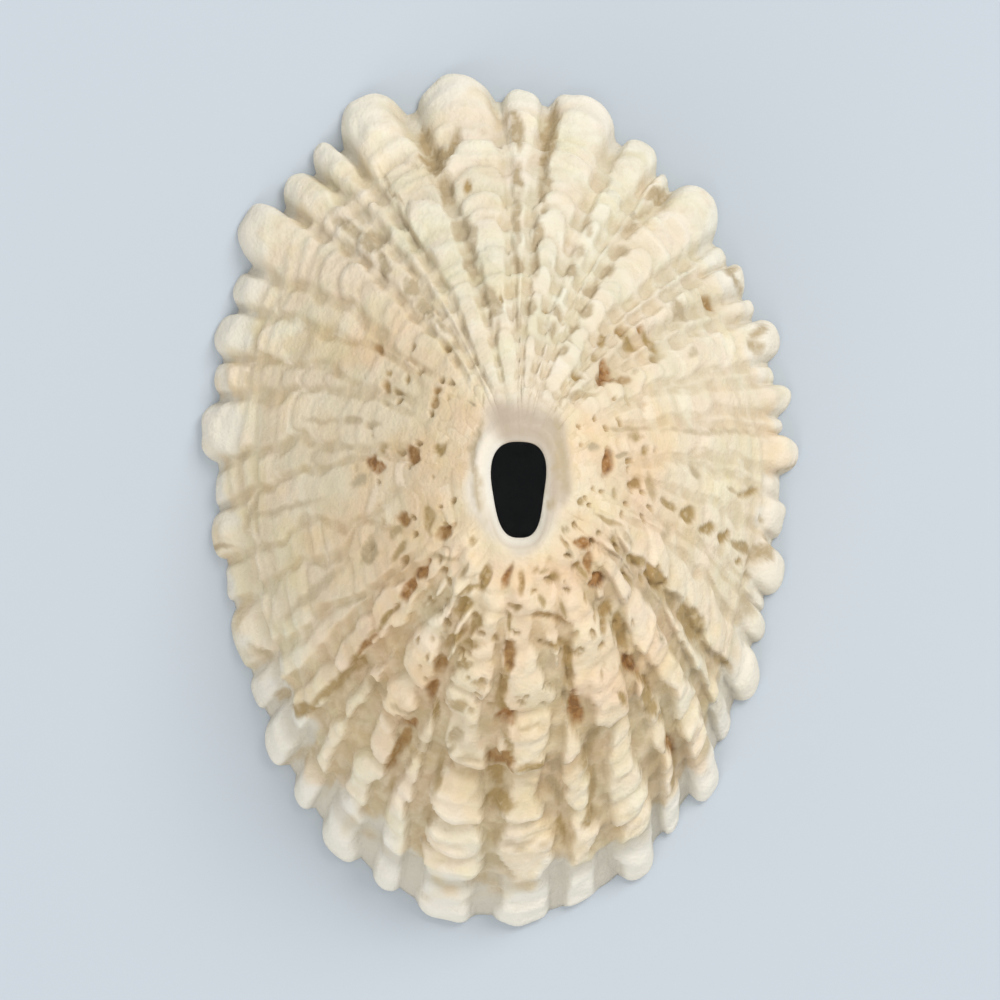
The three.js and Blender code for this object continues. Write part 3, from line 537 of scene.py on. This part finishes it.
# Valleys between the ribs: a level floor and soft sides, broader where a line meets them and broken
# into pockets. At the margin they run between the knobs instead
def cutValleys(p):
    pinch = around("pinch", p.bearing)
    half = around("valley", p.bearing) * p.size * (0.4 + 1.2 * smoothNoise(p.place, 1.2, 13))
    half = half * (1 + 0.9 * (hashed(p.own, p.block, 19) - 0.5) * (1 - p.ends**4))
    half = half * (0.35 + 0.65 * smoothstep(0.2, 0.5, p.s))
    half = np.minimum(half, detail["widestValley"] * p.halfRib) + pinch * p.line
    half = half + pinch * (0.8 * p.unevenFine - 0.3) * (1 - p.fineScale)
    p.valley = smoothstep(0, 1, 1 - (p.fromBorder - half) / (around("slope", p.bearing) * p.size))
    p.valley = p.valley * smoothstep(0, 0.12, p.s - around("begin", p.bearing))

    started = hashed(p.border, 0 * p.border, 17)
    beat = 0.5 + 0.5 * np.cos(2 * math.pi * (p.ring + p.common + started))
    openness = smoothstep(0.1, 0.6, beat + 0.5 * unevenness(p, 1.1, 31))
    p.valley = p.valley * (1 - around("pocket", p.bearing) * (1 - openness))

    across = np.abs(p.t + 0.3 * unevenness(p, 0.9, 33) * p.atEdge)
    across = across / around("knobWidth", p.bearing)
    p.bump = np.maximum(1 - across ** (1.7 + 1.3 * hashed(p.rib, 0 * p.rib, 35)), 0)
    p.valley = p.valley * (1 - p.atEdge) + (1 - smoothstep(0, 0.5, p.bump)) * p.atEdge


# Rise over the bare flank: a rib's relief out of its valleys, uneven from block to block, bowed
# across, sunken at the lines, with a step from ring to ring and fine scales
def raiseRibs(p):
    breadth = ribs[p.own, 1]
    onCrest = 1 - p.valley
    p.relief = around("relief", p.bearing) * (0.4 + 0.6 * breadth) * (0.35 + 0.65 * p.size**2)
    atMargin = around("knob", p.bearing) * (0.5 + 0.5 * breadth)
    p.relief = p.relief * (1 - p.atEdge) + atMargin * p.atEdge
    p.relief = p.relief * smoothstep(0.06, 0.16, p.s)
    uneven = 0.74 + 0.5 * hashed(p.own, p.block, 27) * (1 - p.line)
    uneven = uneven + 0.36 * (noiseAlong(p.own, p.ring, 29) - 0.5)
    bowed = 1 - np.maximum(around("crown", p.bearing), 0.45 * p.atEdge) * p.aside**2
    p.rise = p.relief * onCrest * (1 - around("gap", p.bearing) * p.line) * uneven * bowed
    stepped = around("terrace", p.bearing) * smoothstep(0.25, 0.5, p.s) * (p.part - 0.5) * onCrest
    p.rise = p.rise + stepped * (1 - smoothstep(0.86, 1, p.part))
    scaled = around("scale", p.bearing) * onCrest * smoothstep(0.3, 0.55, p.s)
    scaled = scaled * (0.2 + 1.6 * p.unevenFine)
    p.rise = p.rise + scaled * p.fineScale * (1 - smoothstep(0.5, 1, p.fineScale)) * 1.6


# Uneven lumps of three sizes, and round pits that boring left near the top
def wearDown(p):
    eaten = smoothstep(*detail["eatenFrom"], p.s) * (1 - smoothstep(*detail["eatenTo"], p.s))
    coarse = unevenness(p, 1.25, 41)
    medium = unevenness(p, 0.7, 42)
    fine = unevenness(p, 0.36, 43)
    lump = around("lump", p.bearing) * smoothstep(0.04, 0.16, p.s)
    lump = np.maximum(lump, 0.32 * p.atEdge) * (1 - 0.5 * p.valley)
    p.rise = p.rise + lump * (0.6 * coarse + 0.7 * medium * (1 + 0.6 * eaten) + 0.4 * fine)
    bent = np.stack([unevenness(p, 0.5, seed) for seed in (44, 45, 46)], axis=-1)
    hole, number = scattered(p.place + 0.5 * bent, detail["pitSpacing"], 47)
    holds = number > 1 - detail["pitShare"] * around("bored", p.bearing)
    p.bored = (1 - smoothstep(*detail["pitRim"], hole)) * holds * eaten


# The marks and pits sink in. The marks are read as a camera straight above sees them
def sinkMarks(p):
    f = shellForm
    seen = (p.place[..., :2] + [f["keyholeX"], f["keyholeY"]]) / (1 - p.z / f["seenFrom"])[..., None]
    shake = [0.3 * unevenness(p, 0.6, seed) for seed in (71, 72)]
    ragged = unevenness(p, 0.5, 73) * 0.7 + unevenness(p, 0.25, 74) * 0.6
    x, y = seen[..., 0] + shake[0], seen[..., 1] + shake[1]
    depth, p.inMark, p.tone, p.haze = wornMarks(x, y, ragged)
    p.rise = p.rise - depth - detail["pitDepth"] * p.bored


# Growth stops: past a ragged line the face stands lower, and rises back slowly further down. Just past
# the line, the valley tint paints a shadow under the step
def dropLedges(p):
    for at, drop, start, end in shellForm["ledges"]:
        raggedWay = p.s + unevenness(p, 1.8, 53) * detail["ledgeStray"]
        within = sector(p.bearing, start, end, detail["ledgeSoft"])
        below = smoothstep(at - 0.01, at + 0.01, raggedWay) * (1 - smoothstep(at + 0.04, at + 0.2, p.s))
        p.rise = p.rise - drop * within * below
        # painted shadow under the step: a thin band past the line is tinted as a valley
        under = below * (1 - smoothstep(at + 0.02, at + 0.05, raggedWay))
        p.valley = np.maximum(p.valley, 0.8 * under * within)


# The collar is a funnel into the keyhole with a low ridge round it. Thin waves lie by the margin
def addCollarAndLayers(p):
    d = detail
    p.away = p.s * p.reachOut
    p.rise = p.rise - d["funnelDepth"] * (1 - smoothstep(0, d["funnelWidth"], p.away)) ** 1.5
    ridge = d["ridgeHeight"] * np.exp(-((p.away - d["ridgeAt"]) / d["ridgeWidth"]) ** 2)
    p.rise = p.rise + ridge * (1 - 0.7 * around("grey", p.bearing))
    waves = p.ring * d["layersPerRing"] + 1.5 * smoothNoise(p.place, 2.2, 55)
    layers = np.sin(2 * math.pi * waves)
    layers = layers * smoothstep(-0.14, -0.02, p.s - around("knobFrom", p.bearing))
    height = d["layerInValley"] + d["layerOnCrest"] * (1 - p.valley)
    p.rise = p.rise + layers * height * around("layer", p.bearing)


# What the lime's colours follow, one value from 0 to 1 at each point
def colourMasks(p):
    tint = around("tint", p.bearing)
    grey = around("grey", p.bearing)
    rag = 0.12 * unevenness(p, 1.5, 61) + 0.06 * unevenness(p, 0.6, 62)
    rag = rag + 0.05 * (hashed(p.own, 0 * p.own, 63) - 0.5)
    newest = smoothstep(0, 0.05, p.s + rag - around("freshFrom", p.bearing))
    # the white lip round the keyhole fades where the collar's painted shade lies
    lip = (1 - smoothstep(0.18, 0.42, p.away)) * (1 - 0.8 * grey)
    raggedAway = p.away + 0.6 * unevenness(p, 0.9, 65)
    warm = around("warm", p.bearing) * smoothstep(0, 0.1, p.s)
    full = np.ones_like(p.s)
    return {
        "valley": np.clip(p.valley * tint, 0, 1),
        "line": smoothstep(0.6, 1, p.ends) * p.line * around("gap", p.bearing) * (1 - p.valley),
        "mark": np.maximum(p.inMark, 0.8 * p.bored),
        "tone": np.where(p.inMark > 0.8 * p.bored, p.tone, 0.62),
        "haze": p.haze,
        "block": 0.55 * hashed(p.own, p.block, 83) + 0.45 * hashed(p.own, np.floor(2.5 * p.phase), 84),
        # lighter where a rib stands higher: partly bleached lime, partly painted highlight
        "crest": np.clip(p.rise / (0.2 + p.relief), 0, 1) * (1 - p.valley) * (0.7 + 0.5 * tint),
        "fresh": np.maximum(newest * around("fresh", p.bearing), lip),
        "olive": around("olive", p.bearing) * full,
        "warm": warm * (1 - 0.6 * smoothstep(0.5, 0.85, p.s)),
        "grey": grey * full,
        "collar": 1 - smoothstep(0.55, 1.05, raggedAway / around("collar", p.bearing)),
        "inside": 0 * full,
    }


# The outer face: round it run the columns, down it the rows. Each point of the bare flank moves out
# by its rise along the flank's normal, and straight outwards with its knob by the margin
def outerFace(rib, t, bearing):
    p = SimpleNamespace(rib=rib, t=t, bearing=bearing)
    placeRows(p)
    placeFlank(p)
    findRibs(p)
    partBlocks(p)
    cutValleys(p)
    raiseRibs(p)
    wearDown(p)
    sinkMarks(p)
    dropLedges(p)
    addCollarAndLayers(p)
    knobFrom = around("knobFrom", bearing)
    atMargin = smoothstep(0, 1, (p.s - knobFrom) / (1 - knobFrom))
    knob = p.bump**0.65 * ribs[rib, 2] + detail["knobUneven"] * unevenness(p, 0.8, 57)
    outwards = p.radius + p.rise * np.sin(p.tilt) * (1 - atMargin) + knob * atMargin
    z = p.z + p.rise * np.cos(p.tilt) * (1 - 0.25 * atMargin)
    z = z - detail["edgeDrop"] * smoothstep(0.94, 1, p.s) ** 2
    points = np.stack([outwards * np.sin(p.turn), outwards * np.cos(p.turn), z], axis=-1)
    return points, colourMasks(p)


# The hollow's own form, in millimetres or shares of the way from the keyhole to the margin
hollowForm = {
    "domePower": 1.35,
    "scallop": 0.18,  # its edge bends out by up to twice this between the knobs
    "scallopFrom": 0.82,
    "ringDepth": 0.35,  # a thicker ring round the keyhole
    "ringAt": 0.06,
    "ringWidth": 0.05,
    "paleness": 0.8,
}


# The foot and the hollow. The foot rounds under the knobs to the floor and runs in level. The
# hollow is a smooth dome up to the keyhole, scalloped at its edge, with a thick ring at its top
def innerFace(edge, t, bearing):
    f = shellForm
    h = hollowForm
    low = edge[-1]
    out = np.linalg.norm(low[:, :2], axis=1)
    angle = np.linspace(0, math.pi / 2, grid["footRows"] + 1)[1:, None]
    radius = out - f["footInset"] * (1 - np.cos(angle))
    curl = np.stack([
        low[:, 0] / out * radius, low[:, 1] / out * radius, low[:, 2] * (1 - np.sin(angle)),
    ], axis=-1)

    q = np.linspace(1, 0, grid["hollowRows"])[:, None]
    turn = swung(bearing, q)
    wall = marginRadius(turn) - f["wallAtMargin"]
    least = keyholeRadius(turn) / wall
    share = least + (1 - least) * q
    scallop = h["scallop"] * (1 - np.cos(math.pi * t)) * smoothstep(h["scallopFrom"], 1, q)
    radius = wall * share + scallop
    z = (f["height"] - f["wallAtTop"]) * (1 - share ** h["domePower"])
    z = z - h["ringDepth"] * np.exp(-((q - h["ringAt"]) / h["ringWidth"]) ** 2)
    z = np.maximum(z, 0)
    hollow = np.stack([radius * np.sin(turn), radius * np.cos(turn), z], axis=-1)
    return curl, hollow


# Turns rows of points into one mesh that closes on itself both ways. The columns run clockwise
# seen from above, so this order of the corners makes the faces point out
def closedMesh(name, rows, masks):
    down, perRow = rows.shape[:2]
    index = np.arange(down * perRow).reshape(down, perRow)
    right = np.roll(index, -1, axis=1)
    below = np.roll(index, -1, axis=0)
    corner = np.roll(below, -1, axis=1)
    quads = np.stack([index, right, corner, below], axis=-1).reshape(-1, 4)
    mesh = bpy.data.meshes.new(name)
    mesh.from_pydata(rows.reshape(-1, 3).tolist(), [], quads.tolist())
    mesh.polygons.foreach_set("use_smooth", np.ones(len(quads), dtype=bool))
    for mask, values in masks.items():
        attribute = mesh.attributes.new(mask, "FLOAT", "POINT")
        attribute.data.foreach_set("value", values.ravel().astype(np.float32))
    mesh.update()
    piece = bpy.data.objects.new(name, mesh)
    bpy.context.collection.objects.link(piece)
    return piece


# Joins the faces, and fits the whole to the solid's own box
def buildShell():
    rib, t, bearing = ribColumns()
    outer, masks = outerFace(rib, t, bearing)
    curl, hollow = innerFace(outer, t, bearing)
    lift = np.linspace(0, 1, grid["wallRows"] + 2)[1:-1, None, None]
    wall = hollow[-1] * (1 - lift) + outer[0] * lift
    rows = np.concatenate([outer, curl, hollow, wall])
    low, high = rows.min(axis=(0, 1)), rows.max(axis=(0, 1))
    boxLow, boxHigh = (np.array(corner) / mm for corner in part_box("shell"))
    rows = boxLow + (rows - low) * (boxHigh - boxLow) / (high - low)
    print("fit to the solid:", np.round((boxHigh - boxLow) / (high - low), 4))

    first = len(outer)
    for mask in masks:
        masks[mask] = np.vstack([masks[mask], np.zeros((len(rows) - first, len(bearing)))])
    masks["fresh"][first:] = hollowForm["paleness"]
    masks["inside"][first + len(curl):] = 1
    masks["collar"][-grid["wallRows"]:] = 1
    shell = closedMesh("limpetShell", rows * mm, masks)
    print("shell:", len(shell.data.polygons) * 2, "triangles")
    return shell


# The lime's colours, linear, and its finish
limeLook = {
    "cream": (0.78, 0.68, 0.515),
    "warmCream": (0.77, 0.655, 0.495),  # patches with a pink cast
    "yellowCream": (0.78, 0.68, 0.47),
    "olive": (0.62, 0.545, 0.375),
    # also lays the painted highlight on the crests
    "crestLight": (0.86, 0.785, 0.625),
    "valleyTan": (0.48, 0.375, 0.22),
    "greyTan": (0.47, 0.375, 0.235),
    "markTan": (0.38, 0.26, 0.105),
    "orangeBrown": (0.34, 0.165, 0.05),
    "darkBrown": (0.19, 0.09, 0.03),  # specks in the brownest marks
    "haze": (0.735, 0.575, 0.395),
    "freshWhite": (0.81, 0.78, 0.69),
    # the newest band's grey: partly the lime's own, partly painted shade between the knobs and on the
    # left
    "freshShade": (0.56, 0.53, 0.45),
    "collarWhite": (0.79, 0.73, 0.62),
    # the collar's painted shade
    "collarShade": (0.41, 0.325, 0.24),
    "pinkCast": (1.0, 0.905, 0.825),
    "coolCast": (0.96, 0.972, 1.0),  # where there is no pink cast
    "pinkTinge": (0.995, 0.968, 0.968),  # small patches lean to pink, green or yellow
    "greenTinge": (0.965, 0.99, 0.975),
    "yellowTinge": (1.0, 0.99, 0.93),
    "insideWhite": (0.76, 0.73, 0.66),
    "patches": {  # how many to a metre, from the broadest to the finest
        "broad": 170, "warm": 260, "blotch": 420, "tinge": 440, "yellow": 510,
        "fleck": 700, "patch": 1300, "speck": 2500, "grain": 5200,
    },
    "roughness": 0.6,
    "specular": 0.3,
    "bumpStrength": 0.3,
    "bumpDistance": 0.0002,
}


# Links a socket to an output, or sets it to a constant
def feed(tree, socket, value):
    if isinstance(value, bpy.types.NodeSocket):
        tree.links.new(value, socket)
    else:
        socket.default_value = value


def addNode(tree, kind, inputs=(), **settings):
    node = tree.nodes.new(kind)
    for key, value in settings.items():
        setattr(node, key, value)
    for key, value in dict(inputs).items():
        feed(tree, node.inputs[key], value)
    return node


def colour(rgb):
    return (*rgb, 1.0)


# Mixes two colours by a mask
def mixed(tree, mask, first, second, blend="MIX"):
    node = addNode(tree, "ShaderNodeMix", data_type="RGBA", blend_type=blend)
    for index, value in ((0, mask), (6, first), (7, second)):  # the colour sockets of a Mix node
        feed(tree, node.inputs[index], value)
    return node.outputs[2]


def maths(tree, operation, first, second):
    return addNode(tree, "ShaderNodeMath", {0: first, 1: second}, operation=operation).outputs[0]


# Lime: cream in soft patches, tan in the valleys, grey to orange brown in the marks, white at the
# newest band and round the keyhole
def limeMaterial():
    look = limeLook
    material = bpy.data.materials.new("shellLime")
    material.use_nodes = True
    tree = material.node_tree
    shader = tree.nodes["Principled BSDF"]
    place = addNode(tree, "ShaderNodeTexCoord").outputs["Object"]

    def noise(name, detail=3.0):
        return addNode(tree, "ShaderNodeTexNoise", inputs={
            "Vector": place, "Scale": look["patches"][name], "Detail": detail,
            "Roughness": 0.55}).outputs["Fac"]

    def mask(name):
        return addNode(tree, "ShaderNodeAttribute", attribute_name=name).outputs["Fac"]

    def times(first, second):
        return maths(tree, "MULTIPLY", first, second)

    def ramp(value, low, high, toLow=0.0, toHigh=1.0):
        return addNode(tree, "ShaderNodeMapRange", interpolation_type="SMOOTHSTEP", inputs={
            "Value": value, "From Min": low, "From Max": high, "To Min": toLow,
            "To Max": toHigh}).outputs["Result"]

    def over(base, amount, name, blend="MIX"):
        return mixed(tree, amount, base, colour(look[name]), blend)

    blotch, patch = noise("blotch"), noise("patch")
    fleck, speck, grain = noise("fleck", 2.0), noise("speck", 2.0), noise("grain", 4.0)
    block, collar, inside, tone = mask("block"), mask("collar"), mask("inside"), mask("tone")

    # cream in patches, lighter or more olive from fleck to fleck and from block to block
    base = over(colour(look["cream"]), ramp(noise("broad"), 0.4, 0.62), "yellowCream")
    base = over(base, times(ramp(blotch, 0.45, 0.65), 0.8), "warmCream")
    base = over(base, ramp(fleck, 0.58, 0.72, 0.0, 0.5), "crestLight")
    base = over(base, ramp(fleck, 0.28, 0.4, 0.35, 0.0), "olive")
    base = over(base, times(mask("olive"), ramp(blotch, 0.3, 0.6, 1.15, 0.35)), "olive")
    base = over(base, ramp(block, 0.5, 0.9, 0.0, 0.4), "olive")
    base = over(base, ramp(block, 0.1, 0.45, 0.65, 0.0), "crestLight")

    # crests lighter where the rib stands higher, partly bleached lime and partly painted highlight, a
    # haze round the brown marks, tan valleys, grey lines between blocks
    base = over(base, times(mask("crest"), ramp(patch, 0.35, 0.65, 0.25, 0.85)), "crestLight")
    base = over(base, times(mask("haze"), ramp(blotch, 0.3, 0.7, 0.4, 0.9)), "haze")
    base = over(base, times(mask("valley"), ramp(patch, 0.3, 0.6, 0.55, 1.0)), "valleyTan")
    base = over(base, times(mask("line"), 0.8), "greyTan")

    # a pink or cool cast over large areas, and small patches that lean to pink, green or yellow
    pink = times(mask("warm"), ramp(noise("warm"), 0.38, 0.62, 0.45, 1.3))
    base = over(base, pink, "pinkCast", "MULTIPLY")
    base = over(base, ramp(mask("warm"), 0.0, 0.5, 1.0, 0.0), "coolCast", "MULTIPLY")
    tinge = over(colour(look["pinkTinge"]), ramp(noise("tinge", 4.0), 0.4, 0.6), "greenTinge")
    base = mixed(tree, 1.0, base, tinge, "MULTIPLY")
    base = over(base, ramp(noise("yellow"), 0.5, 0.66), "yellowTinge", "MULTIPLY")

    # the collar, with painted shade on its front and right, and the newest band
    # painted shade on the collar's front and right, following the grey mask
    rim = over(colour(look["collarWhite"]), mask("grey"), "collarShade")
    base = mixed(tree, times(collar, 0.8), base, rim)
    # painted shade on the newest band: greyer in the valleys between the knobs, partly the lime's own
    # grey and partly painted shade, and painted shade on the left side, where the olive mask is
    freshShading = maths(tree, "ADD", mask("valley"), times(mask("olive"), 0.4))
    fresh = over(colour(look["freshWhite"]), freshShading, "freshShade")
    base = mixed(tree, mask("fresh"), base, fresh)

    # the marks: grey through tan to orange brown, with dark specks in the brownest
    stain = over(colour(look["greyTan"]), ramp(tone, 0.25, 0.6), "markTan")
    stain = over(stain, ramp(tone, 0.55, 1.0), "orangeBrown")
    core = times(ramp(tone, 0.66, 1.0, 0.0, 0.8), ramp(speck, 0.48, 0.62))
    stain = over(stain, core, "darkBrown")
    base = mixed(tree, times(mask("mark"), ramp(speck, 0.34, 0.5, 0.72, 1.0)), base, stain)
    base = over(base, inside, "insideWhite")
    tree.links.new(base, shader.inputs["Base Color"])

    # a fine grain, smoother on the collar and in the hollow
    smooth = maths(tree, "MAXIMUM", times(collar, 0.6), inside)
    rough = ramp(grain, 0.3, 0.7, look["roughness"] - 0.08, look["roughness"] + 0.1)
    rough = maths(tree, "SUBTRACT", rough, times(smooth, 0.26))
    tree.links.new(rough, shader.inputs["Roughness"])
    height = maths(tree, "ADD", grain, times(patch, 1.5))
    height = times(height, ramp(smooth, 0.0, 1.0, 1.0, 0.1))
    bump = addNode(tree, "ShaderNodeBump", inputs={
        "Height": height, "Strength": look["bumpStrength"], "Distance": look["bumpDistance"]})
    tree.links.new(bump.outputs["Normal"], shader.inputs["Normal"])
    shader.inputs["Specular IOR Level"].default_value = look["specular"]
    return material


# The floor, the lamps and the camera, in metres
studio = {
    "floorSize": 1.2,
    "floorColour": (0.5, 0.55, 0.6),
    "world": 0.72,
    "lamps": {  # place, power and size: a key at the upper right, a fill from below on the left
        "keyLight": ((0.42, 0.45, 0.62), 4.2, 0.45),
        "fillLight": ((-0.3, -0.6, 0.5), 2.05, 0.6),
    },
    "viewDistance": 0.4,
    "frameWidth": 0.0446,  # what the photo's frame spans at the margin
    "sensorWidth": 36,
}


def buildStage():
    look = studio
    half = look["floorSize"] / 2
    mesh = bpy.data.meshes.new("floor")
    corners = [(-half, -half, 0), (half, -half, 0), (half, half, 0), (-half, half, 0)]
    mesh.from_pydata(corners, [], [(0, 1, 2, 3)])
    floor = bpy.data.objects.new("floor", mesh)
    bpy.context.collection.objects.link(floor)
    material = bpy.data.materials.new("paleFloor")
    material.use_nodes = True
    shader = material.node_tree.nodes["Principled BSDF"]
    shader.inputs["Base Color"].default_value = colour(look["floorColour"])
    shader.inputs["Roughness"].default_value = 0.9
    mesh.materials.append(material)


def addLamp(name, place, power, size):
    lamp = bpy.data.lights.new(name, "AREA")
    lamp.energy = power
    lamp.shape = "DISK"
    lamp.size = size
    item = bpy.data.objects.new(name, lamp)
    item.location = place
    item.rotation_euler = (-Vector(place)).to_track_quat("-Z", "Y").to_euler()
    bpy.context.collection.objects.link(item)


def buildStudio():
    look = studio
    scene = bpy.context.scene
    for name, (place, power, size) in look["lamps"].items():
        addLamp(name, place, power, size)
    world = bpy.data.worlds.new("studio")
    world.use_nodes = True
    world.node_tree.nodes["Background"].inputs["Color"].default_value = (1, 1, 1, 1)
    world.node_tree.nodes["Background"].inputs["Strength"].default_value = look["world"]
    scene.world = world
    scene.view_settings.view_transform = "Standard"

    camera = bpy.data.objects.new("camera", bpy.data.cameras.new("camera"))
    camera.data.sensor_width = look["sensorWidth"]
    camera.data.lens = look["sensorWidth"] * look["viewDistance"] / look["frameWidth"]
    camera.location = (0, 0, look["viewDistance"])
    bpy.context.collection.objects.link(camera)
    scene.camera = camera


shell = buildShell()
shell.data.materials.append(limeMaterial())
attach(shell, "root")
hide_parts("shell")
print("shell dressed")
buildStage()
buildStudio()
print("stage and light set")
